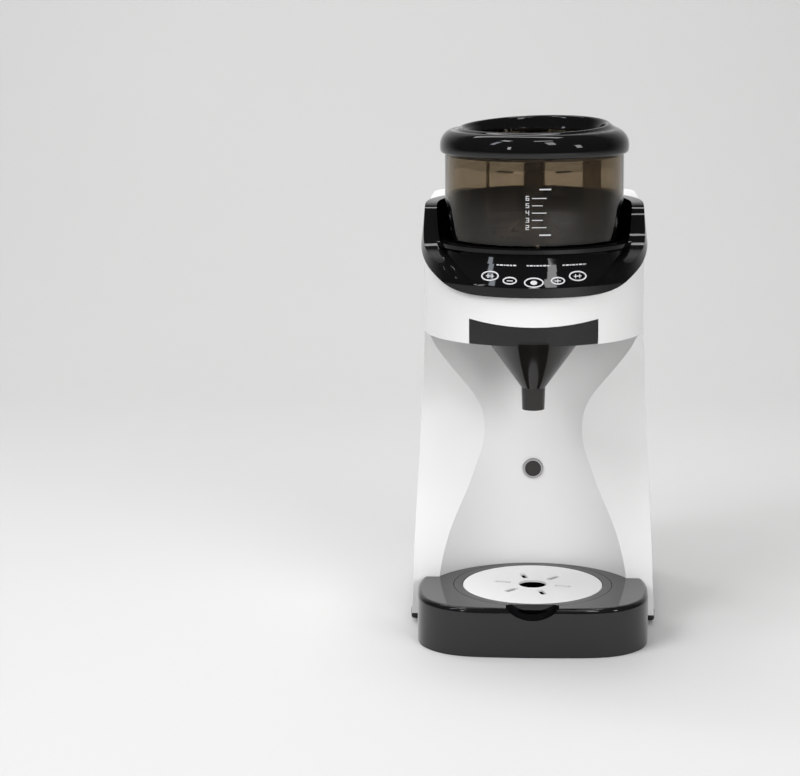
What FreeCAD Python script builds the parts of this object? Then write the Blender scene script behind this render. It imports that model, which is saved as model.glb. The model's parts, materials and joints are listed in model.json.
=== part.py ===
import FreeCAD, Part
import os
from math import sin, cos, tan, pi, sqrt, radians, atan2, degrees, hypot

os.makedirs("parts", exist_ok=True)
V = FreeCAD.Vector

# ---------------------------------------------------------------- driving sizes (mm)
FRONT_Y = -92.5          # front of the control lip, measured from the hopper axis
REAR_Y = 219.5           # back of the base, measured from the hopper axis
OY = -(FRONT_Y + REAR_Y) / 2.0   # the hopper axis sits at y = OY in the finished frame
WALL = 2.6               # casing wall
HEAD_R = 87.7            # round front of the head
HEAD_Z = 252.7           # underside of the head
COLLAR_R = 92.5          # black collar outside
WELL_R = 77.5            # well that the hopper drops into
WELL_FLOOR = 326.2       # top of the well floor
LIP_Z = 291.0            # lower edge of the collar at the front
WING_Z = 353.0           # top of the collar wings
SPLIT_Y = 112.0          # seam between front and rear casing
BAY_Z = 188.0            # floor of the water tank bay
TOP_Z = 352.0            # top deck next to the hopper
POCKET_R, POCKET_Y = 90.0, -24.0   # round pocket behind the bottle
STAND_Z = 40.0           # bottle stand height
PLATE_R = 57.2
CUP_R = 64.7
DRAWER_W = 49.4          # half width of the drawer
HOPPER_R = 70.9
HOPPER_TOP = 397.0
TOTAL_Z = 420.0
GEAR_M = 0.9             # gear module
GEAR_N, PINION_N = 36, 18
EPS = 0.3                # running gap between bodies

# ---------------------------------------------------------------- helpers
def box(x0, x1, y0, y1, z0, z1):
    return Part.makeBox(x1 - x0, y1 - y0, z1 - z0, V(x0, y0, z0))

def cyl(x, y, z0, z1, r):
    return Part.makeCylinder(r, z1 - z0, V(x, y, z0))

def cone(x, y, z0, z1, r0, r1):
    return Part.makeCone(r0, r1, z1 - z0, V(x, y, z0))

def ring(x, y, z0, z1, ro, ri):
    return cyl(x, y, z0, z1, ro).cut(cyl(x, y, z0 - 1, z1 + 1, ri))

def ycyl(x, z, y0, y1, r):
    return Part.makeCylinder(r, y1 - y0, V(x, y0, z), V(0, 1, 0))

def xcyl(y, z, x0, x1, r):
    return Part.makeCylinder(r, x1 - x0, V(x0, y, z), V(1, 0, 0))

def revolve(pts, x=0, y=0):
    """closed profile of (r, z) turned about the vertical axis at x, y"""
    vs = [V(x + r, y, z) for r, z in pts]
    f = Part.Face(Part.makePolygon(vs + [vs[0]]))
    return f.revolve(V(x, y, 0), V(0, 0, 1), 360)

def prism_x(pts, x0, x1):
    vs = [V(x0, y, z) for y, z in pts]
    return Part.Face(Part.makePolygon(vs + [vs[0]])).extrude(V(x1 - x0, 0, 0))

def prism_z(pts, z0, z1):
    vs = [V(x, y, z0) for x, y in pts]
    return Part.Face(Part.makePolygon(vs + [vs[0]])).extrude(V(0, 0, z1 - z0))

def prism_y(pts, y0, y1):
    vs = [V(x, y0, z) for x, z in pts]
    return Part.Face(Part.makePolygon(vs + [vs[0]])).extrude(V(0, y1 - y0, 0))

def spline_prism_x(curve, closing, x0, x1):
    """curve: (y, z) points joined by one smooth curve; closing: straight corners after it"""
    bs = Part.BSplineCurve()
    bs.interpolate([V(x0, y, z) for y, z in curve])
    e = [bs.toShape()]
    c = [V(x0, *curve[-1])] + [V(x0, *p) for p in closing] + [V(x0, *curve[0])]
    for a, b in zip(c, c[1:]):
        e.append(Part.makeLine(a, b))
    return Part.Face(Part.Wire(e)).extrude(V(x1 - x0, 0, 0))

def fuse(*s):
    r = s[0]
    if len(s) > 1:
        r = s[0].multiFuse(list(s[1:]))
    try:
        r = r.removeSplitter()
    except Exception:
        pass
    return r

def cut(a, *bs):
    for b in bs:
        a = a.cut(b)
    return a

def fillet(s, r, pick):
    es = [e for e in s.Edges if pick(e)]
    if not es:
        print("  no edges to round")
        return s
    try:
        t = s.makeFillet(r, es)
        if t.isValid() and t.Volume > 0:
            return t
    except Exception as ex:
        print("  rounding left out:", ex)
    return s

def mid(e):
    return e.valueAt((e.FirstParameter + e.LastParameter) / 2.0)

def rbox(x0, x1, y0, y1, z0, z1, r):
    s = box(x0, x1, y0, y1, z0, z1)
    return fillet(s, r, lambda e: abs(e.tangentAt(e.FirstParameter).z) > 0.9)

def tube(path, r, bend=0.45):
    """round bar along straight runs joined by tangent arcs"""
    P = [V(*p) for p in path]
    edges, last = [], P[0]
    for i in range(1, len(P) - 1):
        a, b, c = P[i - 1], P[i], P[i + 1]
        u, w = (a - b), (c - b)
        lu, lw = u.Length, w.Length
        u.normalize(); w.normalize()
        ang = pi - u.getAngle(w)
        rad = bend * min(lu, lw) / tan(ang / 2.0)
        t = rad * tan(ang / 2.0)
        p0, p1 = b + u * t, b + w * t
        n = (u + w); n.normalize()
        m = b + n * (rad / cos(ang / 2.0) - rad)
        if (p0 - last).Length > 1e-6:
            edges.append(Part.LineSegment(last, p0).toShape())
        edges.append(Part.Arc(p0, m, p1).toShape())
        last = p1
    edges.append(Part.LineSegment(last, P[-1]).toShape())
    w = Part.Wire(edges)
    d = P[1] - P[0]
    prof = Part.Wire(Part.makeCircle(r, P[0], d))
    s = w.makePipeShell([prof], True, False)
    if s.Volume < 0:
        s.reverse()
    print("  tube volume ratio %.3f" % (s.Volume / (pi * r * r * w.Length)))
    return s

NODES = {}
def put(name, shape):
    NODES[name] = shape

# ---------------------------------------------------------------- outer envelope of the casing
#          z,   half width, front radius, rear face
LEVELS = [(8, 103.5, 99.7, 219.5), (60, 101.2, 97.2, 218.6), (120, 97.3, 93.5, 217.8),
          (180, 94.0, 90.2, 217.2), (250, 91.5, 87.7, 216.6), (300, 90.3, 87.7, 216.0),
          (335, 88.6, 86.6, 215.0), (353, 85.0, 83.6, 212.0)]

def section(w, r0, b, z, t):
    w -= t; r0 -= t; b -= t
    rc = 46.0 - t
    right = []
    for a in (0, 20, 40, 60, 78):
        right.append((r0 * sin(radians(a)), -r0 * cos(radians(a))))
    right += [(r0 + 0.12 * (w - r0), 8), (r0 + 0.55 * (w - r0), 40), (w, 80), (w - 0.1, 125)]
    cx, cy = w - 1.2 - rc, b - 1.6 - rc
    for a in (2, 24, 46, 68, 86):
        right.append((cx + rc * cos(radians(a)), cy + rc * sin(radians(a))))
    right.append((0, b))
    left = [(-x, y) for x, y in reversed(right[1:-1])]
    bs = Part.BSplineCurve()
    bs.interpolate([V(x, y, z) for x, y in right + left], PeriodicFlag=True)
    return Part.Wire(bs.toShape())

def envelope(t):
    return Part.makeLoft([section(w, r0, b, z, t) for z, w, r0, b in LEVELS], True, False)

OUTER = envelope(0.0)
INNER = envelope(WALL)

# top deck falls a little toward the rear
def above_top(d=0.0):
    return prism_x([(-130, TOP_Z - d), (60, TOP_Z - d), (240, 343.8 - d), (240, 400), (-130, 400)], -130, 130)

# side view of the recess in front of the casing (hourglass edge once the pocket is cut)
FACE = [(-2, 256.0), (3.0, 251.0), (9.5, 245.0), (17.4, 236.0), (27.0, 225.3), (41.8, 206.0), (50.6, 190.5),
        (55.0, 176.0), (56.3, 160.6), (55.6, 145.5), (53.0, 131.2), (48.3, 111.6), (41.1, 92.6),
        (33.7, 75.5), (26.0, 55.0), (22.3, 41.0), (20.6, 25.0), (20.2, 0.0), (20.2, -5.0)]

def recess(grow=0.0):
    c = [(y + grow * 1.08, z + grow * (1.0 if z > 160 else 0.0) * 0.85) for y, z in FACE]
    s = spline_prism_x(c, [(-140, c[-1][1]), (-140, c[0][1])], -140, 140)
    return s

CUTZ = HEAD_Z
RECESS = recess(0).common(box(-140, 140, -140, 140, -6, CUTZ))
POCKET = cyl(0, POCKET_Y, -6, CUTZ, POCKET_R)
RECESS_IN = recess(WALL).common(box(-140, 140, -140, 140, -6, CUTZ + WALL))
POCKET_IN = cyl(0, POCKET_Y, -6, CUTZ + WALL, POCKET_R + WALL)

# lower edge of the black collar in side view, and the front cut over the panel and wings
SWOOSH = [(-110, 291.0), (-92, 291.0), (-84, 291.4), (-72, 293.6), (-63, 297.0), (-54, 301.6), (-35, 310.2),
          (-17, 318.6), (0, 326.5), (22, 337.0), (45, 346.2), (64, 353.5)]
FRONTCUT = [(-110, 298.8), (-92, 298.8), (-84, 299.2), (-74, 301.6), (-66, 305.4), (-57, 310.4), (-42, 317.0),
            (-30, 321.6), (-22, 327.0), (-15, 336.0), (-9, 346.0), (-2, 352.0), (8, 354.2), (24, 355.0),
            (60, 355.6), (90, 356.2)]

def above(curve, d=0.0, ylim=None):
    c = [(y, z + d) for y, z in curve]
    return spline_prism_x(c, [(c[-1][0], 470), (c[0][0], 470)], -140, 140)

def below(curve, d=0.0):
    c = [(y, z + d) for y, z in curve]
    return spline_prism_x(c, [(c[-1][0], 200), (c[0][0], 200)], -140, 140)

# ---------------------------------------------------------------- front casing
zone = cyl(0, 0, 284, 380, COLLAR_R + 0.35).common(above(SWOOSH, -0.0))
liner_zone = cyl(0, 0, 318, 380, WELL_R + 3.4)
body = cut(OUTER, above_top(), RECESS, POCKET)
hollow = cut(INNER, above_top(WALL), RECESS_IN, POCKET_IN)
# the cavity is open at the bottom, where the base pan closes it
foot_open = INNER.common(box(-140, 140, -140, 240, 7, 11)).translate(V(0, 0, 0))
front = body.common(box(-140, 140, -140, SPLIT_Y, 0, 400))
front = cut(front, hollow, zone, liner_zone)
# drawer opening through the round band and the head floor
slot = box(-DRAWER_W - 0.4, DRAWER_W + 0.4, -110, 52.0, HEAD_Z - 3, HEAD_Z + 3.0)
smile = [(-DRAWER_W - 0.4, HEAD_Z - 3)] + [(x, 267.8 + 4.6 * (x / 49.8) ** 2) for x in
         [-49.8, -40, -30, -20, -10, 0, 10, 20, 30, 40, 49.8]] + [(DRAWER_W + 0.4, HEAD_Z - 3)]
mouth = prism_y(smile, -110, -50)
front = cut(front, slot, mouth)
# sensor hole, and the powder/water opening is the drawer slot itself
front = cut(front, ycyl(0, 122.5, 55, 75, 7.7))
put("front_housing", front)

# ---------------------------------------------------------------- rear casing with the tank bay
rear = body.common(box(-140, 140, SPLIT_Y + 0.2, 240, 0, BAY_Z))
rear = cut(rear, INNER.common(box(-140, 140, SPLIT_Y - 5, 240, 0, BAY_Z - WALL)))
wall = body.common(box(-140, 140, SPLIT_Y + 0.2, SPLIT_Y + 3.2, BAY_Z - 1, 400))
rear = fuse(rear, wall)
VALVE = (0.0, 150.0)      # water outlet of the tank, x and y
rear = cut(rear, cyl(VALVE[0], VALVE[1], BAY_Z - 6, BAY_Z + 2, 13.0))
for k in range(9):        # cooling slots low on the back
    rear = cut(rear, rbox(-40 + k * 10 - 1.6, -40 + k * 10 + 1.6, 205, 230, 96, 128, 1.4))
rear = cut(rear, box(34.2, 69.8, 200, 230, 26.7, 53.8))      # power inlet opening
put("rear_housing", rear)

# ---------------------------------------------------------------- base pan, feet, screws
pan_out = envelope(WALL + 0.3).common(box(-140, 140, -140, 240, 8.0, 10.6))
pan = cut(pan_out, RECESS_IN, POCKET_IN)
pan = cut(pan, cyl(0, POCKET_Y, 0, 20, POCKET_R + WALL + 0.3))
FEET = [(-91, 42), (91, 42), (-78, 188), (78, 188)]
SCREWS = [(-84, 62), (84, 62), (-88, 128), (88, 128), (-50, 204), (50, 204)]
for x, y in FEET:
    pan = cut(pan, cyl(x, y, 4, 9.2, 4.0))
for x, y in SCREWS:
    pan = cut(pan, cyl(x, y, 0, 20, 1.6))
put("base_pan", pan)
feet = []
for x, y in FEET:
    f = rbox(x - 11, x + 11, y - 10, y + 10, 0, 7.9, 5)
    f = fillet(f, 1.0, lambda e: abs(mid(e).z) < 0.01)
    feet.append(fuse(f, cyl(x, y, 7.9, 9.1, 3.8)))
put("rubber_feet", Part.makeCompound(feet))
scr = []
for x, y in SCREWS:
    s = fuse(cyl(x, y, 5.9, 7.95, 3.1), cyl(x, y, 7.9, 18, 1.45))
    scr.append(cut(s, box(x - 2.2, x + 2.2, y - 0.4, y + 0.4, 5, 6.8), box(x - 0.4, x + 0.4, y - 2.2, y + 2.2, 5, 6.8)))
put("case_screws", Part.makeCompound(scr))

# ---------------------------------------------------------------- black control collar
COLLAR_OUT = [(284, COLLAR_R), (299, COLLAR_R), (308, COLLAR_R - 0.7), (322, COLLAR_R - 2.2), (340, COLLAR_R - 4.2), (360, COLLAR_R - 6.4)]
def collar_body(t):
    return revolve([(0, 284)] + [(r - t, z) for z, r in COLLAR_OUT] + [(0, 360)])
cz = collar_body(0.0)
wings = cut(cz.common(above(SWOOSH, 0.25)), above(FRONTCUT), cyl(0, 0, 280, 380, WELL_R))
cavity = cut(collar_body(3.6), cyl(0, 0, 270, 390, WELL_R + WALL)).common(below(FRONTCUT, -2.8))
wings = cut(wings, cavity)
wings = wings.common(box(-140, 140, -140, 64, 200, 400))
liner = cut(ring(0, 0, 320, 372, WELL_R + 2.8, WELL_R), above(FRONTCUT))
floor = cut(cyl(0, 0, WELL_FLOOR - 3, WELL_FLOOR, WELL_R + 2.8))
# sloping control panel, slightly dished
bowl = [(72.6, 326.7), (74.6, 324.2), (76.4, 320.2), (78.9, 315.0), (81.6, 310.0), (84.6, 304.8), (88.9, 298.4)]
under = [(r - 2.4, z - 1.2) for r, z in reversed(bowl)]
panel = revolve(bowl + under)
rim = ring(0, 0, WELL_FLOOR - 3, 326.7, 73.4, 71.0)
front_half = box(-140, 140, -140, -6, 200, 400)
panel = cut(fuse(panel, rim).common(front_half))
panel = cut(panel, ring(0, 0, 280, 340, 120, 84.4).common(below(SWOOSH, 0.25)))
collar = fuse(wings, liner, floor, panel)
# round off what sticks out in front of the panel inside the well zone
collar = cut(collar, cyl(0, 0, 329.3, 420, 72.5).common(front_half))
collar = cut(collar, cyl(0, 0, WELL_FLOOR, 420, 71.55))
CHUTE = (0.0, -32.0)
collar = cut(collar, cyl(0, 0, 300, 330, 9.0), cyl(CHUTE[0], CHUTE[1], 300, 330, 10.6))
collar = collar.common(box(-140, 140, -140, 140, 284, 372))
big = sorted(collar.Solids, key=lambda s: -s.Volume)
print("collar solids", [round(s.Volume) for s in big])
collar = big[0]
put("control_collar", collar)

# lit rings round the five touch spots, flush print on the panel
def panel_point(x, z):
    for (r0, z0), (r1, z1) in zip(bowl, bowl[1:]):
        if z1 <= z <= z0:
            r = r0 + (r1 - r0) * (z - z0) / (z1 - z0)
            return r
    return 82.0
rings = []
for x, z, a, b in [(-33.5, 306.2, 7.3, 4.2), (-18.3, 303.4, 5.6, 3.2), (0, 302.3, 7.5, 4.2), (18.3, 303.4, 5.6, 3.2), (33.5, 306.2, 7.3, 4.2)]:
    r = panel_point(x, z)
    y = -sqrt(r * r - x * x)
    th = atan2(x, -y)
    nrm = V(sin(th) * 0.86, -cos(th) * 0.86, 0.51)
    nrm.normalize()
    xa = V(cos(th), sin(th), 0)
    c = V(x, y, z)
    el = Part.Ellipse(V(0, 0, 0), a, b * 1.0)
    f_out = Part.Face(Part.Wire(el.toShape()))
    f_in = Part.Face(Part.Wire(Part.Ellipse(V(0, 0, 0), a - 1.0, b - 1.0).toShape()))
    lens = f_out.cut(f_in).extrude(V(0, 0, 1.5))
    ya = nrm.cross(xa)
    m = FreeCAD.Matrix(xa.x, ya.x, nrm.x, c.x, xa.y, ya.y, nrm.y, c.y, xa.z, ya.z, nrm.z, c.z, 0, 0, 0, 1)
    lens = lens.transformGeometry(m)
    lens.translate(nrm * (-1.1))
    rings.append(lens)
put("touch_rings", Part.makeCompound(rings))
NODES["control_collar"] = cut(NODES["control_collar"], *rings)

# ---------------------------------------------------------------- sensor in the pocket wall
sz, sy = 122.5, POCKET_Y + POCKET_R
bez = cut(ycyl(0, sz, sy - 1.6, sy + 5, 8.7), ycyl(0, sz, sy - 3, sy + 8, 6.75))
bez = cut(bez, cut(ycyl(0, sz, sy - 0.5, sy + 8, 12), ycyl(0, sz, sy - 3, sy + 9, 7.6)))
bez = fillet(bez, 0.7, lambda e: abs(mid(e).y - (sy - 1.6)) < 0.01 and hypot(mid(e).x, mid(e).z - sz) > 8)
put("sensor_bezel", bez)
put("bottle_sensor", fuse(ycyl(0, sz, sy - 1.0, sy + 6, 6.7), ycyl(0, sz, sy + 5.1, sy + 8, 8.4)))

# ---------------------------------------------------------------- drawer and mixing funnel
fr = cyl(0, 0, HEAD_Z + 0.3, 275, HEAD_R - 0.1).common(prism_y([(-DRAWER_W, HEAD_Z)] +
     [(x, 267.4 + 4.6 * (x / 49.8) ** 2) for x in [-49.4, -40, -30, -20, -10, 0, 10, 20, 30, 40, 49.4]] + [(DRAWER_W, HEAD_Z)], -110, -60))
fr = cut(fr, cyl(0, 0, 240, 290, HEAD_R - 3.4))
plate = box(-DRAWER_W, DRAWER_W, -71, 51.4, HEAD_Z + 0.3, HEAD_Z + 3.1)
nose = cyl(0, 0, HEAD_Z + 0.3, HEAD_Z + 3.1, HEAD_R - 3).common(box(-DRAWER_W, DRAWER_W, -90, -70, 200, 300))
sides = fuse(box(-48.0, -46.3, -71, 51.4, HEAD_Z + 2, 265.0), box(46.3, 48.0, -71, 51.4, HEAD_Z + 2, 265.0),
             box(-48.0, 48.0, 49.2, 51.4, HEAD_Z + 2, 262.0),
             box(-DRAWER_W, -47.9, -68, 51.4, 263.2, 265.0), box(47.9, DRAWER_W, -68, 51.4, 263.2, 265.0))
seat = ring(0, 0, HEAD_Z + 2, 259.2, 45.8, 43.6)
drawer = fuse(fr, plate, nose, sides, seat)
drawer = cut(drawer, cyl(0, 0, 240, 280, 43.6))
finger = ycyl(0, HEAD_Z - 10, -89.5, -78, 17.0)
drawer = cut(drawer, finger.common(box(-20, 20, -95, -70, 240, HEAD_Z + 4.0)))
put("funnel_drawer", drawer)

fun = revolve([(9.1, 187.0), (9.7, 205.0), (41.6, 249.4), (43.0, 252.6), (43.0, 259.6), (45.7, 259.6), (45.7, 266.6), (44.0, 266.6),
               (44.0, 261.6), (41.2, 261.6), (41.2, 252.8), (39.8, 250.4), (7.7, 205.8), (7.3, 187.0)])
tab = cut(rbox(-7, 7, -48.8, -43, 263.6, 266.0, 1.5), cyl(0, 0, 250, 280, 44.7))
put("mixing_funnel", fuse(fun, tab))

rl = []
for s in (-1, 1):
    a = box(min(s * 48.4, s * 52.0), max(s * 48.4, s * 52.0), -60, 50, 260.4, 262.8)
    b = box(min(s * 50.0, s * 52.0), max(s * 50.0, s * 52.0), -60, 50, HEAD_Z + 2.7, 270.0)
    rl.append(fuse(a, b))
put("drawer_rails", Part.makeCompound(rl))

# ---------------------------------------------------------------- bottle stand, drip cup, plate
def stand_outline(t, z0, z1):
    pts = []
    half = [(0, -74.0), (28, -73.4), (52, -71.4), (68, -66.2), (80, -57.0), (88.5, -45.0), (92.8, -30.0), (94.0, -12.0), (93.8, 6.0), (91.6, 19.6)]
    hs = [(x, y) for x, y in half]
    right = hs
    left = [(-x, y) for x, y in reversed(hs[1:])]
    bs = Part.BSplineCurve()
    p = left + right
    def inn(x, y):
        r = hypot(x, y * 1.0)
        return (x * (1 - t / 90.0), y + t * (1.0 if y < -60 else (0.4 if y < 0 else (-1.0 if y > 19 else 0))))
    q = [V(*(inn(x, y)), z0) for x, y in p]
    bs.interpolate(q)
    e = [bs.toShape(), Part.makeLine(q[-1], q[0])]
    return Part.Face(Part.Wire(e)).extrude(V(0, 0, z1 - z0))

out = stand_outline(0, 0, STAND_Z)
out = fillet(out, 4.2, lambda e: abs(mid(e).z - STAND_Z) < 0.01 and mid(e).y < 15.0)
back = cyl(0, POCKET_Y, 0, STAND_Z, POCKET_R - 0.8).common(box(-77, 77, 0, 80, 0, STAND_Z))
stand = fuse(out, back)
inner_s = fuse(stand_outline(2.6, -1, 37.4), cyl(0, POCKET_Y, -1, 37.4, POCKET_R - 3.4).common(box(-74.6, 74.6, -10, 80, -1, 37.4)))
cupwell = cyl(0, 0, 13.0, 60, CUP_R + 0.45)
cupshell = cyl(0, 0, 10.4, STAND_Z, CUP_R + 2.6)
stand = cut(stand, cut(inner_s, cupshell.common(box(-100, 100, -100, 100, 10.4, 60))), cupwell)
NR, NZ = 28.0, 58.4
stand = cut(stand, ycyl(0, NZ, -90, -60, NR))
put("bottle_stand", stand)

cup = revolve([(0, 13.3), (62.0, 13.3), (64.2, 15.5), (64.2, 36.6), (CUP_R, 37.2), (CUP_R, STAND_Z), (57.7, STAND_Z), (57.7, 37.0), (55.0, 37.0), (55.0, 35.4), (62.2, 35.4), (62.2, 16.2), (61.2, 15.2), (0, 15.2)])
cup = cut(cup, ycyl(0, NZ + 2.0, -90, -60.0, NR))
put("drip_cup", cup)

disc = revolve([(0, 38.3), (52.0, 38.3), (53.0, 37.3), (56.6, 37.3), (PLATE_R, 37.9), (PLATE_R, 39.4), (56.6, STAND_Z), (0, STAND_Z)])
disc = cut(disc, cyl(0, 0, 30, 45, 11.4))
for k in range(6):
    a = radians(47 + 60 * k)
    sl = rbox(18.5, 32.0, -2.3, 2.3, 30, 45, 0.8)
    sl.rotate(V(0, 0, 0), V(0, 0, 1), 47 + 60 * k)
    disc = cut(disc, sl)
put("bottle_plate", disc)

# ---------------------------------------------------------------- hopper
RI = HOPPER_R - 2.4
ves = revolve([(0, WELL_FLOOR + 0.3), (HOPPER_R - 1.5, WELL_FLOOR + 0.3), (HOPPER_R, WELL_FLOOR + 1.8), (HOPPER_R, HOPPER_TOP - 0.6), (HOPPER_R - 0.6, HOPPER_TOP),
               (RI + 0.4, HOPPER_TOP), (RI, HOPPER_TOP - 0.6), (RI, WELL_FLOOR + 4.0), (RI - 1.4, WELL_FLOOR + 2.9), (0, WELL_FLOOR + 2.9)])
ves = cut(ves, cyl(0, 0, 320, 335, 8.6), cyl(CHUTE[0], CHUTE[1], 320, 335, 9.6))
put("hopper_vessel", ves)
FZ = WELL_FLOOR + 2.9
put("outlet_gasket", ring(CHUTE[0], CHUTE[1], WELL_FLOOR - 4.6, WELL_FLOOR - 3.05, 12.6, 9.7))

wheel = fuse(cyl(0, 0, FZ + 0.4, FZ + 3.4, 46.0), revolve([(0, FZ + 3.3), (20.5, FZ + 3.3), (10.8, FZ + 11.6), (0, FZ + 11.6)]), cyl(0, 0, WELL_FLOOR + 0.7, FZ + 1, 8.2))
for k in range(6):
    a = radians(30 + 60 * k)
    wheel = cut(wheel, cyl(32 * cos(a), 32 * sin(a), FZ - 2, FZ + 6, 8.4))
def hexa(af, z0, z1, turn=0):
    r = af / sqrt(3.0)
    return prism_z([(r * cos(radians(60 * k + turn)), r * sin(radians(60 * k + turn))) for k in range(6)], z0, z1)
wheel = cut(wheel, hexa(9.6, WELL_FLOOR - 2, FZ + 7.0))
for k in range(24):       # rim notches that meter the powder
    wheel = cut(wheel, cyl(46.8 * cos(radians(15 * k + 7.5)), 46.8 * sin(radians(15 * k + 7.5)), FZ - 2, FZ + 6, 2.0))
put("dosing_wheel", wheel)
ag = fuse(cyl(0, 0, FZ + 11.6, 389.0, 8.6), box(-37.5, 53.5, -2.2, 2.2, FZ + 12.0, FZ + 16.5))
ag = fuse(ag, box(38.5, 53.2, -1.3, 1.3, FZ + 5.0, 389.0), box(-38.2, -35.6, -1.3, 1.3, FZ + 5.0, 386.0))
ag = cut(ag, cyl(0, 0, FZ + 12, 387.0, 6.6))
put("agitator", ag)

# ---------------------------------------------------------------- lid
lr = [(71.25, 393.6), (73.6, 393.6), (74.6, 395.6), (75.0, 399.0), (74.9, 402.0), (74.0, 405.4), (72.2, 408.8), (69.6, 411.6),
      (66.4, 413.8), (62.6, 415.2), (58.6, 415.6), (55.2, 415.0), (53.0, 413.4), (52.1, 411.2), (51.9, 405.2), (53.6, 405.2), (54.6, 411.0),
      (58.0, 413.0), (63.4, 412.6), (68.0, 409.8), (71.0, 405.0), (72.0, 400.2), (71.25, 398.4)]
lid = revolve(lr)
# inner rim of the ring, its top sloping up toward the far right
TILT = 2.2
ridge = revolve([(54.6, 412.0), (64.0, 412.0), (62.2, 417.0), (60.6, 421.5), (56.4, 421.5), (55.2, 417.6)])
over = box(-120, 120, -120, 120, 0, 40)
over.rotate(V(0, 0, 0), V(sin(radians(63)), -cos(radians(63)), 0), TILT)
over.translate(V(0, 0, TOTAL_Z - 60.75 * tan(radians(TILT))))
ridge = cut(ridge, over)
lid = fuse(lid, ridge)
put("lid_ring", lid)
dish = revolve([(0, 400.6), (48.0, 400.6), (50.2, 402.4), (53.4, 402.4), (68.2, 399.2), (68.2, 400.8), (54.0, 404.6), (51.0, 404.6), (50.6, 410.0), (49.0, 410.0), (48.6, 404.0), (47.0, 402.6), (0, 402.6)])
put("lid_dish", dish)
put("lid_gasket", revolve([(66.6, 392.4), (68.2, 392.4), (68.2, 397.2), (70.6, 397.35), (70.6, 399.6), (68.3, 399.9), (68.2, 399.1), (66.6, 399.4)]))

# ---------------------------------------------------------------- drive under the hopper
def involute_gear(n, m, z0, z1, bore, turn=0.0, back=0.10):
    rp = m * n / 2.0
    rb = rp * cos(radians(20))
    ra, rf = rp + 0.85 * m, rp - 1.25 * m
    def inv(r):
        a = sqrt(max(0.0, (r / rb) ** 2 - 1))
        return a - atan2(a, 1)
    half = pi / (2 * n) - back / rp / 2.0 + inv(rp)
    pts = []
    for k in range(n):
        c = 2 * pi * k / n + radians(turn)
        fl = []
        rs = [max(rb, rf) + (ra - max(rb, rf)) * i / 4.0 for i in range(5)]
        for r in rs:
            fl.append((r, half - inv(r)))
        low = [(rf, half - inv(rs[0]) + 0.0)]
        left = low + fl
        for r, a in left:
            pts.append((r * cos(c - a), r * sin(c - a)))
        for r, a in reversed(left):
            pts.append((r * cos(c + a), r * sin(c + a)))
    return cut(prism_z(pts, z0, z1), cyl(0, 0, z0 - 1, z1 + 1, bore))

GD = GEAR_M * (GEAR_N + PINION_N) / 2.0 + 0.08
gear = involute_gear(GEAR_N, GEAR_M, 307.0, 314.0, 4.05)
put("drive_gear", gear)
shaft = fuse(cyl(0, 0, 300.0, 320.0, 4.0), hexa(9.0, 320.0, FZ + 5.6))
put("drive_shaft", shaft)
put("shaft_bush", cut(fuse(cyl(0, 0, 315.0, 323.1, 8.4), ring(0, 0, 315.0, 317.4, 12.0, 4.5)), cyl(0, 0, 300, 330, 5.4)))
pin = involute_gear(PINION_N, GEAR_M, 306.4, 314.6, 2.0)
pin.translate(V(0, GD, 0))
put("motor_pinion", pin)
put("motor_shaft", cyl(0, GD, 300.5, 316.0, 1.96))
mo = fuse(cyl(0, GD + 4, 281.4, 299.6, 17.0), cyl(0, GD, 299.5, 302.0, 5.0))
mo = cut(mo, cyl(0, GD, 297.0, 303, 2.6))
put("drive_motor", mo)
br = fuse(box(-22.5, 22.5, -9, GD + 24, 302.2, 304.2), box(-22.5, -18.5, -9, -5, 304, 323.0), box(18.5, 22.5, -9, -5, 304, 323.0),
          box(-22.5, -18.5, GD + 20, GD + 24, 304, 323.0), box(18.5, 22.5, GD + 20, GD + 24, 304, 323.0))
br = cut(br, cyl(0, 0, 300, 306, 4.5), cyl(0, GD, 300, 306, 5.3))
put("motor_bracket", br)
put("powder_chute", cut(fuse(cyl(CHUTE[0], CHUTE[1], 279.5, 321.0, 10.6), cyl(CHUTE[0], CHUTE[1], 318.2, 321.4, 15.0)), cyl(CHUTE[0], CHUTE[1], 270, 330, 8.6)))

# ---------------------------------------------------------------- water path
SP = (26.0, 2.0)
put("water_spout", cut(fuse(cone(SP[0], SP[1], 279.5, 288, 3.4, 5.2), cyl(SP[0], SP[1], 288, 296, 5.2)), cyl(SP[0], SP[1], 275, 300, 1.8)))
HE = (-34.0, 96.0)
heater = fuse(rbox(-60, 20, 84, 106, 70, 160, 6), cyl(-44, 95, 62, 71, 5.0), cyl(4, 95, 159, 168, 5.0))
put("flow_heater", heater)
put("heater_cutout", fuse(ycyl(-20, 116, 77.0, 83.8, 8.0), box(-24, -22, 72.0, 77.2, 112, 120), box(-18, -16, 72.0, 77.2, 112, 120)))
pump = fuse(ycyl(46, 66, 128, 162, 16.0), ycyl(46, 66, 118, 128.2, 12.0), cyl(46, 150, 81, 92, 4.0), ycyl(46, 66, 108, 118.2, 4.0), box(32, 60, 132, 158, 11.0, 52.0))
put("water_pump", pump)
put("inlet_hose", tube([(0, 150, 176.0), (0, 150, 150), (20, 150, 125), (46, 150, 112), (46, 150, 92.2)], 4.2))
put("pump_hose", tube([(46, 107.8, 66), (46, 98, 66), (46, 84, 56), (20, 80, 40), (-20, 84, 36), (-44, 95, 44), (-44, 95, 61.8)], 3.8))
put("heater_hose", tube([(4, 95, 168.2), (4, 95, 190), (20, 92, 215), (40, 80, 240), (44, 62, 268), (42, 36, 296), (26, 2, 312), (26, 2, 296.2)], 3.0, 0.42))
vs = fuse(ring(VALVE[0], VALVE[1], BAY_Z - 12, BAY_Z + 0.2, 12.6, 10.6), cyl(VALVE[0], VALVE[1], BAY_Z - 12, BAY_Z - 9.6, 12.6), ring(VALVE[0], VALVE[1], BAY_Z + 0.1, BAY_Z + 1.6, 16.0, 10.6))
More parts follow.
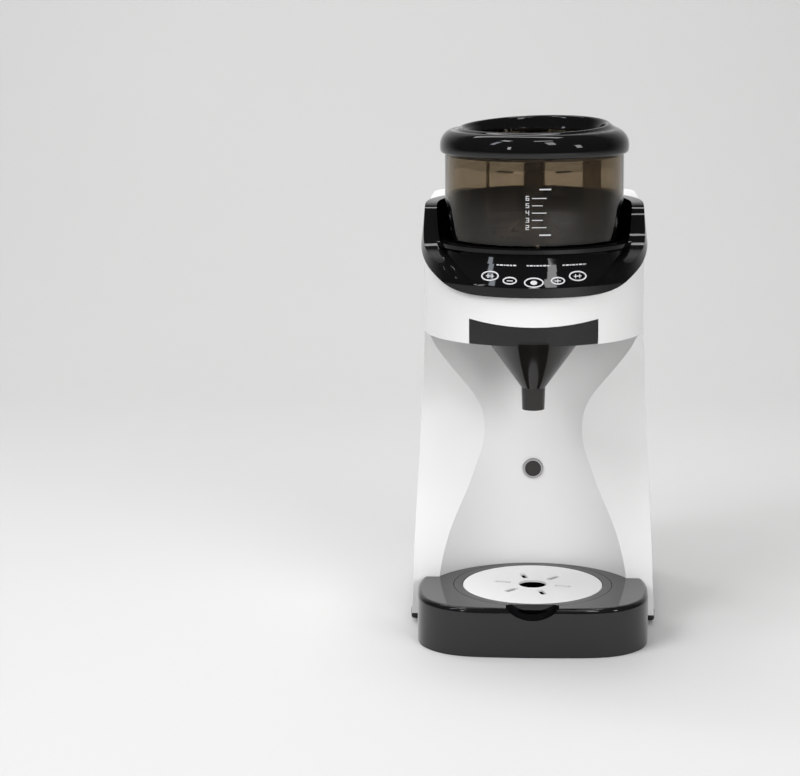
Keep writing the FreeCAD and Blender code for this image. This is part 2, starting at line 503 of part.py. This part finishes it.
vs = cut(vs, cyl(VALVE[0] + 5.5, VALVE[1], BAY_Z - 14, BAY_Z - 8, 2.0), cyl(VALVE[0] - 5.5, VALVE[1], BAY_Z - 14, BAY_Z - 8, 2.0))
vs = fuse(vs, cyl(VALVE[0], VALVE[1], BAY_Z - 10, BAY_Z - 4.4, 1.6))
put("tank_valve_seat", vs)
put("seat_seal", ring(VALVE[0], VALVE[1], BAY_Z - 5.0, BAY_Z - 2.6, 10.55, 9.3))

# ---------------------------------------------------------------- electrics
put("control_board", cut(cyl(0, 0, 296.0, 297.6, 76.0).common(box(-58, 58, -90, -47, 290, 300)), cyl(0, 0, 280, 300, 46.0)))
pb = fuse(box(-70, -12, 128, 200, 20.0, 21.6), rbox(-62, -40, 140, 162, 21.5, 42.0, 2), rbox(-34, -18, 136, 160, 21.5, 36.0, 2), cyl(-54, 182, 21.5, 48.0, 9.0), rbox(-36, -18, 170, 190, 21.5, 34.0, 1),
          cyl(-66, 132, 10.6, 20.1, 2.6), cyl(-16, 132, 10.6, 20.1, 2.6), cyl(-66, 196, 10.6, 20.1, 2.6), cyl(-16, 196, 10.6, 20.1, 2.6))
put("power_board", pb)
# power inlet: recessed socket for a detachable lead
inl = fuse(box(38.3, 65.7, 190, 217.0, 30.3, 50.2), box(34.5, 69.5, 215.4, 218.4, 27.0, 53.5))
inl = cut(inl, box(41.0, 63.0, 200, 230, 33.0, 47.6))
put("power_inlet", inl)
pins = [box(x - 1.1, x + 1.1, 184, 213.0, z - 2, z + 2) for x, z in ((45.0, 38.6), (52.0, 43.0), (59.0, 38.6))]
put("inlet_pins", Part.makeCompound(pins))
NODES["power_inlet"] = cut(NODES["power_inlet"], *pins)

# ---------------------------------------------------------------- water tank
TZ0, TZ1 = BAY_Z + 2.0, 340.5
tank_out = cut(envelope(0.0).common(box(-140, 140, SPLIT_Y + 3.8, 240, TZ0, TZ1)))
tank_in = envelope(2.8).common(box(-140, 140, SPLIT_Y + 6.4, 240, TZ0 + 2.8, TZ1 + 5))
tank = cut(tank_out, tank_in)
tank = fuse(tank, cyl(VALVE[0], VALVE[1], BAY_Z - 3.8, TZ0 + 0.5, 9.0))
tank = cut(tank, cyl(VALVE[0], VALVE[1], BAY_Z - 6, TZ0 + 8, 6.4))
tank = fuse(tank, cut(cyl(VALVE[0], VALVE[1], TZ0 + 2.6, TZ0 + 5.0, 9.0), cyl(VALVE[0], VALVE[1], TZ0, TZ0 + 8, 3.6)))
HY, HZ = 207.0, 342.6
ears = fuse(box(-36, -20.4, HY - 4.0, HY + 4.0, HZ - 9, HZ - 0.5), box(20.4, 36, HY - 4.0, HY + 4.0, HZ - 9, HZ - 0.5), xcyl(HY, HZ, -36, -20.4, 4.0), xcyl(HY, HZ, 20.4, 36, 4.0),
            box(-40, 40, HY - 6.0, HY + 8.5, HZ - 11.5, HZ - 8.5))
ears = cut(ears, xcyl(HY, HZ, -60, 60, 1.55))
tank = fuse(tank, ears.common(envelope(0.5)))
put("water_tank", tank)

# lid of the tank: white cover that closes the top deck behind the hopper
cover = cut(envelope(0.25), above_top()).common(box(-140, 140, SPLIT_Y + 3.8, HY - 5.2, TZ1 + 0.4, 400))
cover_in = cut(envelope(3.0), above_top(2.4)).common(box(-140, 140, SPLIT_Y + 6.2, HY - 8.0, TZ1 - 10, 400))
cover = cut(cover, cover_in)
knuckle = fuse(xcyl(HY, HZ, -20.0, 20.0, 4.0), prism_x([(HY - 6.0, HZ + 0.6), (HY - 6.0, HZ + 3.0), (HY, HZ + 3.99), (HY + 0.4, HZ)], -20.0, 20.0))
cover = fuse(cover, cut(knuckle, box(-30, 30, HY + 6, HY + 20, 300, 400)))
skirt = cut(envelope(3.4), envelope(5.0)).common(box(-140, 140, SPLIT_Y + 7.2, HY - 14.0, TZ1 - 3.0, TZ1 + 3.0))
cover = fuse(cover, skirt)
cover = cut(cover, xcyl(HY, HZ, -60, 60, 1.62))
sol = sorted(cover.Solids, key=lambda s: -s.Volume)
print("cover solids", [round(s.Volume) for s in sol])
put("tank_lid", sol[0])
put("tank_lid_pin", xcyl(HY, HZ, -35.5, 35.5, 1.5))

valve = fuse(cyl(VALVE[0], VALVE[1], BAY_Z - 3.6, BAY_Z - 1.6, 5.6), cyl(VALVE[0], VALVE[1], BAY_Z - 2, TZ0 + 12.0, 1.8), cyl(VALVE[0], VALVE[1], TZ0 + 10.5, TZ0 + 12.0, 4.4))
put("tank_valve", valve)
def coil(R, w, pitch, turns, seg):
    """faceted coil spring of square wire"""
    secs, faces = [], []
    for i in range(int(turns * seg) + 1):
        a = 2 * pi * i / seg
        c, r = V(R * cos(a), R * sin(a), pitch * i / seg), V(cos(a), sin(a), 0)
        secs.append([c + r * w + V(0, 0, w), c - r * w + V(0, 0, w), c - r * w - V(0, 0, w), c + r * w - V(0, 0, w)])
    def tri(a, b, c):
        faces.append(Part.Face(Part.makePolygon([a, b, c, a])))
    for s, t in zip(secs, secs[1:]):
        for k in range(4):
            tri(s[k], s[(k + 1) % 4], t[(k + 1) % 4])
            tri(s[k], t[(k + 1) % 4], t[k])
    s = secs[0]
    tri(s[0], s[2], s[1]); tri(s[0], s[3], s[2])
    s = secs[-1]
    tri(s[0], s[1], s[2]); tri(s[0], s[2], s[3])
    r = Part.Solid(Part.makeShell(faces))
    if r.Volume < 0:
        r.reverse()
    return r
sp = coil(3.2, 0.3, 1.1, 4, 16)
sp.translate(V(VALVE[0], VALVE[1], TZ0 + 5.6))
put("valve_spring", sp)

# ---------------------------------------------------------------- write
total = FreeCAD.BoundBox()
for name, s in NODES.items():
    s = s.copy()
    s.translate(V(0, OY, 0))
    sol = s.Solids
    ok = s.isValid()
    b = s.optimalBoundingBox(False, False)
    total.add(b)
    print("%-18s solids %2d valid %s vol %9.0f  x %.1f %.1f y %.1f %.1f z %.1f %.1f" % (name, len(sol), ok, s.Volume, b.XMin, b.XMax, b.YMin, b.YMax, b.ZMin, b.ZMax))
    if len(sol) == 1:
        s = sol[0]
    else:
        s = Part.makeCompound(sol)
    s.exportStep("parts/" + name + ".step")
print("nodes", len(NODES), "box", total.XLength, total.YLength, total.ZLength, total.YMin, total.YMax, total.ZMin)
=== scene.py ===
import bpy, bmesh, json, math
from math import sin, cos, pi, radians, sqrt, atan2
from mathutils import Matrix, Vector


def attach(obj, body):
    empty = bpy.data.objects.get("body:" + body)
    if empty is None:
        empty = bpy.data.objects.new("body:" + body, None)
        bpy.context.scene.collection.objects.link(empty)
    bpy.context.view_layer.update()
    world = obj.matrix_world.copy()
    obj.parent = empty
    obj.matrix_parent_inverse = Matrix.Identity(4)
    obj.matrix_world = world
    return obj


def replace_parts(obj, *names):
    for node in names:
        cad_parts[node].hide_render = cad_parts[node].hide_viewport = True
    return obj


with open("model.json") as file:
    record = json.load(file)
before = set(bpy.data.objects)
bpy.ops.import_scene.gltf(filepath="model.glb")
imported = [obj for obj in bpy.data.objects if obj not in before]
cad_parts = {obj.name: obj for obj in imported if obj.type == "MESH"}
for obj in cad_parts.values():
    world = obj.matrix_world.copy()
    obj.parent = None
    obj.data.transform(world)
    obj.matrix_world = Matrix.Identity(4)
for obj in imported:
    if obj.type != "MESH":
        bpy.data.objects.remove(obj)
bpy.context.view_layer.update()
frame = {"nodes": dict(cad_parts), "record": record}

N = frame["nodes"]
MM = 0.001
AY = -63.5                 # hopper axis in the object's frame, mm
scene = bpy.context.scene
scene.view_settings.view_transform = "Standard"
scene.view_settings.look = "None"
scene.view_settings.exposure = 0.0
scene.view_settings.gamma = 1.0

# ------------------------------------------------------------------ materials
def nodes_of(m):
    m.use_nodes = True
    nt = m.node_tree
    for n in list(nt.nodes):
        nt.nodes.remove(n)
    out = nt.nodes.new("ShaderNodeOutputMaterial")
    b = nt.nodes.new("ShaderNodeBsdfPrincipled")
    nt.links.new(b.outputs[0], out.inputs[0])
    return nt, b, out

def plastic(name, col, rough, vary=0.03, grain=900.0, bump=0.04, rvary=0.06, patch=14.0, coat=0.0, coat_rough=0.05,
            spec=0.5, metal=0.0, trans=0.0, ior=1.5, grain_depth=0.0001, stretch=None, dust=0.0):
    """moulded surface: slow colour drift, uneven gloss and a fine grain"""
    m = bpy.data.materials.new(name)
    nt, b, out = nodes_of(m)
    L = nt.links.new
    tc = nt.nodes.new("ShaderNodeTexCoord")
    src = tc.outputs["Object"]
    if stretch:
        mp = nt.nodes.new("ShaderNodeMapping")
        mp.inputs["Scale"].default_value = stretch
        L(src, mp.inputs["Vector"])
        src = mp.outputs["Vector"]
    n1 = nt.nodes.new("ShaderNodeTexNoise")
    n1.inputs["Scale"].default_value = patch
    n1.inputs["Detail"].default_value = 3.0
    L(src, n1.inputs["Vector"])
    mix = nt.nodes.new("ShaderNodeMix")
    mix.data_type = "RGBA"
    mix.inputs["A"].default_value = (*[c * (1 - vary) for c in col[:3]], 1)
    mix.inputs["B"].default_value = (*[min(1.0, c * (1 + vary)) for c in col[:3]], 1)
    L(n1.outputs["Fac"], mix.inputs["Factor"])
    L(mix.outputs["Result"], b.inputs["Base Color"])
    n2 = nt.nodes.new("ShaderNodeTexNoise")
    n2.inputs["Scale"].default_value = patch * 3.7
    n2.inputs["Detail"].default_value = 5.0
    L(src, n2.inputs["Vector"])
    mr = nt.nodes.new("ShaderNodeMapRange")
    mr.inputs["From Min"].default_value = 0.3
    mr.inputs["From Max"].default_value = 0.7
    mr.inputs["To Min"].default_value = max(0.0, rough * (1 - rvary))
    mr.inputs["To Max"].default_value = min(1.0, rough * (1 + rvary))
    L(n2.outputs["Fac"], mr.inputs["Value"])
    L(mr.outputs["Result"], b.inputs["Roughness"])
    if bump > 0:
        n3 = nt.nodes.new("ShaderNodeTexNoise")
        n3.inputs["Scale"].default_value = grain
        n3.inputs["Detail"].default_value = 2.0
        L(src, n3.inputs["Vector"])
        bp = nt.nodes.new("ShaderNodeBump")
        bp.inputs["Strength"].default_value = bump
        bp.inputs["Distance"].default_value = grain_depth
        L(n3.outputs["Fac"], bp.inputs["Height"])
        L(bp.outputs["Normal"], b.inputs["Normal"])
    b.inputs["Metallic"].default_value = metal
    b.inputs["Specular IOR Level"].default_value = spec
    b.inputs["IOR"].default_value = ior
    b.inputs["Transmission Weight"].default_value = trans
    b.inputs["Coat Weight"].default_value = coat
    b.inputs["Coat Roughness"].default_value = coat_rough
    m.diffuse_color = (*col[:3], 1)
    return m

M = {}
M["white_case"] = plastic("white_case", (0.82, 0.82, 0.815), 0.34, vary=0.008, grain=1400, bump=0.05, patch=9, spec=0.45)
M["black_gloss"] = plastic("black_gloss", (0.0042, 0.0042, 0.0045), 0.045, vary=0.15, grain=300, bump=0.0, rvary=0.25, patch=20, spec=0.5)
M["charcoal"] = plastic("charcoal", (0.012, 0.0123, 0.013), 0.26, vary=0.06, grain=1600, bump=0.12, patch=18)
M["stand_black"] = plastic("stand_black", (0.0070, 0.0072, 0.0078), 0.07, vary=0.06, grain=1500, bump=0.02, patch=16, rvary=0.15, spec=0.6)
M["white_plate"] = plastic("white_plate", (0.84, 0.84, 0.84), 0.38, vary=0.01, grain=1500, bump=0.08, patch=16)
M["smoke_clear"] = plastic("smoke_clear", (0.40, 0.345, 0.27), 0.012, vary=0.02, bump=0.0, patch=8, trans=1.0, ior=1.46, rvary=0.3)
M["smoke_part"] = plastic("smoke_part", (0.26, 0.215, 0.165), 0.06, vary=0.03, bump=0.0, patch=12, trans=0.85, ior=1.46)
M["smoke_dark"] = plastic("smoke_dark", (0.012, 0.0108, 0.0095), 0.085, vary=0.08, grain=900, bump=0.02, patch=18, trans=0.0)
M["tank_clear"] = plastic("tank_clear", (0.80, 0.84, 0.86), 0.05, vary=0.01, bump=0.0, patch=6, trans=1.0, ior=1.46)
M["grey_plastic"] = plastic("grey_plastic", (0.42, 0.42, 0.42), 0.5, vary=0.03, grain=900, bump=0.15)
M["black_rubber"] = plastic("black_rubber", (0.014, 0.014, 0.014), 0.62, vary=0.1, grain=1100, bump=0.3)
M["seal_grey"] = plastic("seal_grey", (0.33, 0.33, 0.34), 0.55, vary=0.04, grain=900, bump=0.1)
M["silicone_hose"] = plastic("silicone_hose", (0.62, 0.61, 0.58), 0.4, vary=0.04, grain=500, bump=0.05)
M["steel"] = plastic("steel", (0.55, 0.55, 0.55), 0.32, vary=0.05, grain=500, bump=0.05, metal=1.0, stretch=(1, 1, 12))
M["motor_metal"] = plastic("motor_metal", (0.42, 0.42, 0.43), 0.38, vary=0.05, grain=500, bump=0.05, metal=1.0)
M["heater_alloy"] = plastic("heater_alloy", (0.6, 0.6, 0.61), 0.45, vary=0.06, grain=400, bump=0.2, metal=1.0)
M["brass_bush"] = plastic("brass_bush", (0.62, 0.42, 0.17), 0.35, vary=0.06, grain=500, bump=0.05, metal=1.0)
M["gear_acetal"] = plastic("gear_acetal", (0.78, 0.75, 0.66), 0.4, vary=0.03, grain=900, bump=0.08)
M["board_green"] = plastic("board_green", (0.015, 0.12, 0.045), 0.35, vary=0.2, grain=260, bump=0.2, patch=160)
M["inlet_black"] = plastic("inlet_black", (0.02, 0.02, 0.02), 0.45, vary=0.06, grain=1200, bump=0.15)
M["bezel_metal"] = plastic("bezel_metal", (0.50, 0.50, 0.50), 0.28, vary=0.04, grain=600, bump=0.03, metal=0.9)
M["sensor_window"] = plastic("sensor_window", (0.022, 0.018, 0.017), 0.12, vary=0.2, bump=0.0, patch=300)
M["white_print"] = plastic("white_print", (0.62, 0.62, 0.64), 0.5, vary=0.02, bump=0.02, patch=60)

slots = {s["node"]: s["material_slot"] for s in frame["record"]["subparts"]}
for name, ob in N.items():
    m = M[slots[name]]
    if not ob.material_slots:
        ob.data.materials.append(m)
    else:
        for s in ob.material_slots:
            s.material = m

# ------------------------------------------------------------------ mesh helpers
def link(name, me, mat, body, smooth=True, auto=35.0):
    ob = bpy.data.objects.new(name, me)
    scene.collection.objects.link(ob)
    me.materials.append(mat)
    if smooth:
        for p in me.polygons:
            p.use_smooth = True
        me.set_sharp_from_angle(angle=radians(auto))
    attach(ob, body)
    return ob

def rounded(profile, radii, steps=5):
    """closed (r, z) profile with each corner rounded by its own radius"""
    out = []
    n = len(profile)
    for i in range(n):
        p, a, c = Vector(profile[i]), Vector(profile[i - 1]), Vector(profile[(i + 1) % n])
        r = radii[i] if i < len(radii) else 0.0
        if r <= 0:
            out.append(tuple(p))
            continue
        u, w = (a - p), (c - p)
        lu, lw = u.length, w.length
        u.normalize(); w.normalize()
        half = u.angle(w) / 2.0
        t = min(r / math.tan(half), lu * 0.45, lw * 0.45)
        rr = t * math.tan(half)
        p0, p1 = p + u * t, p + w * t
        cdir = (u + w).normalized()
        c0 = p + cdir * (rr / sin(half))
        a0 = atan2(p0.y - c0.y, p0.x - c0.x)
        a1 = atan2(p1.y - c0.y, p1.x - c0.x)
        d = (a1 - a0 + pi) % (2 * pi) - pi
        for k in range(steps + 1):
            a = a0 + d * k / steps
            out.append((c0.x + rr * cos(a), c0.y + rr * sin(a)))
    return out

def spin(name, profile, mat, body, seg=144, cx=0.0, cy=AY, auto=35.0):
    """solid of revolution from a closed (r, z) profile in mm; points with r = 0 close on the axis"""
    bm = bmesh.new()
    rows = []
    for k in range(seg):
        a = 2 * pi * k / seg
        rows.append([None if r < 1e-6 else bm.verts.new(((cx + r * cos(a)) * MM, (cy + r * sin(a)) * MM, z * MM)) for r, z in profile])
    axis = [bm.verts.new((cx * MM, cy * MM, z * MM)) if r < 1e-6 else None for r, z in profile]
    n = len(profile)
    for k in range(seg):
        A, B = rows[k], rows[(k + 1) % seg]
        for i in range(n):
            j = (i + 1) % n
            q = [A[i] or axis[i], B[i] or axis[i], B[j] or axis[j], A[j] or axis[j]]
            v = []
            for x in q:
                if x not in v:
                    v.append(x)
            if len(v) >= 3:
                bm.faces.new(v)
    bmesh.ops.recalc_face_normals(bm, faces=bm.faces)
    me = bpy.data.meshes.new(name)
    bm.to_mesh(me)
    bm.free()
    return link(name, me, mat, body, auto=auto)

# ------------------------------------------------------------------ lid and hopper, turned smooth
def smooth_loop(pts, per=4, sharp=()):
    """closed Catmull-Rom through the points; indices in sharp stay corners"""
    out = []
    n = len(pts)
    for i in range(n):
        p0, p1, p2, p3 = [Vector(pts[(i + k - 1) % n]) for k in range(4)]
        if i in sharp:
            p0 = p1
        if (i + 1) % n in sharp:
            p3 = p2
        for k in range(per):
            t = k / per
            q = 0.5 * ((2 * p1) + (p2 - p0) * t + (2 * p0 - 5 * p1 + 4 * p2 - p3) * t * t + (3 * p1 - p0 - 3 * p2 + p3) * t ** 3)
            out.append((q.x, q.y))
    return out

def lid_mesh(seg=192):
    """ring with its inner rim rising smoothly toward the far right"""
    bm = bmesh.new()
    base = [(71.3, 395.0), (73.5, 395.0), (74.4, 396.0), (74.9, 398.6), (74.85, 402.0), (74.1, 405.4), (72.4, 408.6), (69.9, 411.2),
            (67.2, 412.9), (65.0, 414.0), (63.2, 415.0), (61.8, 416.0), (60.6, 417.0), (59.4, 417.9), (58.2, 418.2), (57.0, 417.7), (56.0, 416.4),
            (55.0, 413.6), (53.4, 409.5), (52.2, 406.4), (52.3, 405.3), (53.7, 405.3), (55.4, 409.8), (57.6, 412.4), (60.6, 412.6), (64.0, 412.0),
            (68.0, 409.6), (70.8, 405.0), (71.9, 400.2), (71.3, 398.4)]
    fine = smooth_loop(base, 3, sharp=(0, 1, 20, 21, 29))
    rows = []
    for k in range(seg):
        a = 2 * pi * k / seg
        c = cos(a - radians(63))
        lift = -4.3 + 6.1 * ((c + 1) / 2) ** 1.5
        row = []
        for r, z in fine:
            w = min(1.0, max(0.0, (z - 411.0) / 6.0))
            w = w * w * (3 - 2 * w) * (1.0 if r < 64 else 0.0 if r > 68 else (68 - r) / 4)
            row.append(bm.verts.new((r * cos(a) * MM, (r * sin(a) + AY) * MM, min(419.95, z + lift * w) * MM)))
        rows.append(row)
    n = len(fine)
    for k in range(seg):
        A, B = rows[k], rows[(k + 1) % seg]
        for i in range(n):
            j = (i + 1) % n
            bm.faces.new([A[i], B[i], B[j], A[j]])
    bmesh.ops.recalc_face_normals(bm, faces=bm.faces)
    me = bpy.data.meshes.new("lid_ring_smooth")
    bm.to_mesh(me)
    bm.free()
    return link("lid_ring_smooth", me, M["black_gloss"], "lid_ring", auto=50)

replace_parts(lid_mesh(), "lid_ring")

def hopper_mesh():
    """clear vessel turned smooth, with the drive hole and the powder outlet through its floor"""
    z0 = 326.5
    pr = [(8.6, z0), (69.4, z0), (70.9, z0 + 1.5), (70.9, 396.4), (70.3, 397.0), (68.9, 397.0), (68.5, 396.4), (68.5, z0 + 3.7), (67.1, z0 + 2.6), (8.6, z0 + 2.6)]
    pr = rounded(pr, [0, 0.6, 0.6, 0.3, 0.3, 0.2, 0.2, 0.6, 0.6, 0], 4)
    ob = spin("hopper_smooth", pr, M["smoke_clear"], "hopper", seg=256, auto=40)
    bm = bmesh.new()
    bmesh.ops.create_cone(bm, cap_ends=True, segments=64, radius1=9.6 * MM, radius2=9.6 * MM, depth=0.02, matrix=Matrix.Translation((0, (-32 + AY) * MM, 0.327)))
    cm = bpy.data.meshes.new("outlet_cutter")
    bm.to_mesh(cm)
    bm.free()
    cutter = bpy.data.objects.new("outlet_cutter", cm)
    scene.collection.objects.link(cutter)
    mod = ob.modifiers.new("outlet", "BOOLEAN")
    mod.operation = "DIFFERENCE"
    mod.solver = "EXACT"
    mod.object = cutter
    dg = bpy.context.evaluated_depsgraph_get()
    dg.update()
    new = bpy.data.meshes.new_from_object(ob.evaluated_get(dg))
    ob.modifiers.remove(mod)
    ob.data = new
    bpy.data.objects.remove(cutter)
    if not ob.data.materials:
        ob.data.materials.append(M["smoke_clear"])
    for p in ob.data.polygons:
        p.use_smooth = True
    ob.data.set_sharp_from_angle(angle=radians(40))
    return ob

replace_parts(hopper_mesh(), "hopper_vessel")

# ------------------------------------------------------------------ print on curved faces
BOWL = [(72.6, 326.7), (74.6, 324.2), (76.4, 320.2), (78.9, 315.0), (81.6, 310.0), (84.6, 304.8), (88.9, 298.4)]

def bowl_r(z):
    for (r0, z0), (r1, z1) in zip(BOWL, BOWL[1:]):
        if z1 <= z <= z0:
            return r0 + (r1 - r0) * (z - z0) / (z1 - z0)
    return BOWL[0][0] if z > BOWL[0][1] else BOWL[-1][0]

def on_bowl(x, z, h):
    r = bowl_r(z)
    y = -sqrt(max(1.0, r * r - x * x))
    n = Vector((x / r * 0.86, y / r * 0.86, 0.51)).normalized()
    return Vector((x, y, z)) + n * h

def on_hopper(x, z, h, r=70.9):
    a = x / r
    return Vector(((r + h) * sin(a), -(r + h) * cos(a), z))

def decal(name, loops, where, mat, body, h0=-0.15, h1=0.07):
    """thin printed marks: loops are lists of closed 2D outlines, each convex, laid on a curved face"""
    bm = bmesh.new()
    for lp in loops:
        lo = [bm.verts.new(((v := where(x, z, h0)).x * MM, (v.y + AY) * MM, v.z * MM)) for x, z in lp]
        hi = [bm.verts.new(((v := where(x, z, h1)).x * MM, (v.y + AY) * MM, v.z * MM)) for x, z in lp]
        n = len(lp)
        cl = [sum(p[0] for p in lp) / n, sum(p[1] for p in lp) / n]
        a, b = where(*cl, h0), where(*cl, h1)
        ca = bm.verts.new((a.x * MM, (a.y + AY) * MM, a.z * MM))
        cb = bm.verts.new((b.x * MM, (b.y + AY) * MM, b.z * MM))
        for i in range(n):
            j = (i + 1) % n
            bm.faces.new([hi[i], hi[j], cb])
            bm.faces.new([lo[j], lo[i], ca])
            bm.faces.new([lo[i], lo[j], hi[j], hi[i]])
    bmesh.ops.recalc_face_normals(bm, faces=bm.faces)
    me = bpy.data.meshes.new(name)
    bm.to_mesh(me)
    bm.free()
    return link(name, me, mat, body, smooth=False)

def bar(x0, x1, z0, z1, n=6):
    top = [(x0 + (x1 - x0) * i / n, z1) for i in range(n + 1)]
    return top + [(x, z0) for x, _ in reversed(top)]

# level lines and plain numbers on the hopper
DIG = {"1": [(0.3, 0.5, 0, 1)], "2": [(0, 1, 0.86, 1), (0.8, 1, 0.5, 0.86), (0, 1, 0.43, 0.57), (0, 0.2, 0.14, 0.5), (0, 1, 0, 0.14)],
       "3": [(0, 1, 0.86, 1), (0.8, 1, 0.14, 0.86), (0.2, 0.8, 0.43, 0.57), (0, 1, 0, 0.14)],
       "4": [(0, 0.2, 0.5, 1), (0, 0.8, 0.43, 0.57), (0.8, 1, 0, 1)],
       "5": [(0, 1, 0.86, 1), (0, 0.2, 0.5, 0.86), (0, 1, 0.43, 0.57), (0.8, 1, 0.14, 0.43), (0, 1, 0, 0.14)],
       "6": [(0, 1, 0.86, 1), (0, 0.2, 0.14, 0.86), (0.2, 1, 0.43, 0.57), (0.8, 1, 0.14, 0.43), (0, 1, 0, 0.14)]}
marks = [bar(4.0, 13.0, 371.4, 372.4), bar(4.0, 13.0, 336.4, 337.4)]
for k, d in enumerate("65432"):
    z = 363.4 - k * 5.6
    for x0, x1, y0, y1 in DIG[d]:
        marks.append(bar(-6.4 + 2.6 * x0, -6.4 + 2.6 * x1, z + 3.6 * y0, z + 3.6 * y1, 1))
    marks.append(bar(-1.6, 6.5 if k % 2 else 9.5, z + 1.4, z + 2.0))
decal("level_marks", marks, on_hopper, M["white_print"], "hopper")

# small signs inside the lit rings and three rows of dashes above them
def blob(cx, cz, a, b, n=20):
    return [(cx + a * cos(2 * pi * i / n), cz + b * sin(2 * pi * i / n)) for i in range(n)]
signs = []
for cx, cz in ((-33.5, 306.2), (33.5, 306.2)):
    signs += [bar(cx - 3.0, cx + 3.0, cz - 0.3, cz + 0.3), bar(cx - 1.9, cx - 1.3, cz - 1.5, cz + 1.5, 1), bar(cx + 1.3, cx + 1.9, cz - 1.5, cz + 1.5, 1)]
signs += [bar(-20.6, -16.0, 303.1, 303.7), bar(16.0, 20.6, 303.1, 303.7), bar(18.0, 18.6, 301.9, 304.9, 1)]
signs += [blob(0, 302.3, 2.6, 1.5)]
for x0, x1 in ((-28.5, -13.5), (-5.5, 12.5), (22.0, 40.0)):
    x = x0
    k = 0
    while x < x1:
        w = (1.6, 2.6, 1.1, 2.1)[k % 4]
        signs.append(bar(x, min(x1, x + w), 314.0, 314.9, 2))
        x += w + 0.7
        k += 1
decal("panel_marks", signs, on_bowl, M["white_print"], "housing")

# ------------------------------------------------------------------ stage
def plane(name, x0, x1, y0, y1, z, mat):
    me = bpy.data.meshes.new(name)
    me.from_pydata([(x0, y0, z), (x1, y0, z), (x1, y1, z), (x0, y1, z)], [], [(0, 1, 2, 3)])
    ob = bpy.data.objects.new(name, me)
    scene.collection.objects.link(ob)
    me.materials.append(mat)
    return ob

floor_mat = plastic("floor_paper", (0.635, 0.635, 0.63), 0.55, vary=0.012, grain=220, bump=0.03, patch=3, spec=0.25)
# floor that sweeps up into the backdrop
bm = bmesh.new()
prof = [(-16.0, -0.0002)]
prof += [(0.9, -0.0002)]
for k in range(1, 25):
    a = (pi / 2) * k / 24
    prof.append((0.9 + 1.4 * sin(a), 1.4 - 1.4 * cos(a) - 0.0002))
prof.append((2.3, 4.0))
rowa = [bm.verts.new((-16.0, y, z)) for y, z in prof]
rowb = [bm.verts.new((16.0, y, z)) for y, z in prof]
for i in range(len(prof) - 1):
    bm.faces.new([rowa[i], rowb[i], rowb[i + 1], rowa[i + 1]])
bmesh.ops.recalc_face_normals(bm, faces=bm.faces)
me = bpy.data.meshes.new("sweep")
bm.to_mesh(me)
bm.free()
sweep = bpy.data.objects.new("sweep", me)
scene.collection.objects.link(sweep)
me.materials.append(floor_mat)
for p in me.polygons:
    p.use_smooth = True

world = bpy.data.worlds.new("studio")
scene.world = world
world.use_nodes = True
bg = world.node_tree.nodes["Background"]
bg.inputs[0].default_value = (1, 1, 1, 1)
bg.inputs[1].default_value = 0.05

def softbox(name, loc, target, sx, sy, power, col=(1, 1, 1)):
    d = bpy.data.lights.new(name, "AREA")
    d.shape = "RECTANGLE"
    d.size, d.size_y = sx, sy
    d.energy = power
    d.color = col
    o = bpy.data.objects.new(name, d)
    scene.collection.objects.link(o)
    v = Vector(target) - Vector(loc)
    o.rotation_euler = v.to_track_quat("-Z", "Y").to_euler()
    o.location = loc
    return o

k = softbox("overhead", (-0.35, 0.0, 2.3), (0.0, 0.0, 0), 1.9, 1.7, 33)
k.visible_glossy = False
softbox("top_left", (-0.75, -0.55, 2.1), (0, -0.06, 0.4), 0.30, 0.22, 1.6)
softbox("top_mid", (0.25, -0.75, 2.2), (0, -0.06, 0.4), 0.55, 0.16, 1.8)
k = softbox("key_front_left", (-1.7, -1.7, 2.15), (0, -0.05, 0.2), 1.5, 1.5, 44)
k.visible_glossy = False
k = softbox("fill_front", (1.45, -2.3, 0.95), (0, -0.05, 0.2), 1.6, 1.1, 33)
k.visible_glossy = False
softbox("strip_left", (-1.12, -0.78, 1.62), (0, -0.1, 0.3), 0.16, 0.62, 1.6, (0.84, 0.91, 1.0))
softbox("strip_mid", (0.52, -1.2, 1.78), (0, -0.1, 0.3), 0.28, 0.55, 2.6)
softbox("strip_low", (-0.75, -1.35, 0.85), (0, -0.1, 0.3), 0.10, 0.35, 0.9)
softbox("strip_right", (1.25, -0.9, 1.0), (0, -0.05, 0.2), 0.2, 0.45, 1.6)
softbox("back_wash", (-0.6, 0.9, 3.2), (0.0, 2.3, 0.7), 3.0, 0.6, 28)

# ------------------------------------------------------------------ camera, from the fitted circles of the photo
pitch, yaw, roll = 0.190288247, 0.0610267975, -0.00746661388
cp, sp_, cyw, syw = cos(pitch), sin(pitch), cos(yaw), sin(yaw)
fwd = Vector((-syw * cp, cyw * cp, -sp_))
right = Vector((cyw, syw, 0))
up = right.cross(fwd)
r2 = right * cos(roll) + up * sin(roll)
u2 = up * cos(roll) - right * sin(roll)
cam = bpy.data.cameras.new("camera")
cam.sensor_fit = "HORIZONTAL"
cam.sensor_width = 36.0
cam.lens = 2222.83331 / 800.0 * 36.0
cam.clip_start, cam.clip_end = 0.05, 30
co = bpy.data.objects.new("camera", cam)
scene.collection.objects.link(co)
co.matrix_world = Matrix(((r2.x, u2.x, -fwd.x, 0.0), (r2.y, u2.y, -fwd.y, -1.76839183 + AY * MM), (r2.z, u2.z, -fwd.z, 0.54485694), (0, 0, 0, 1)))
scene.camera = co
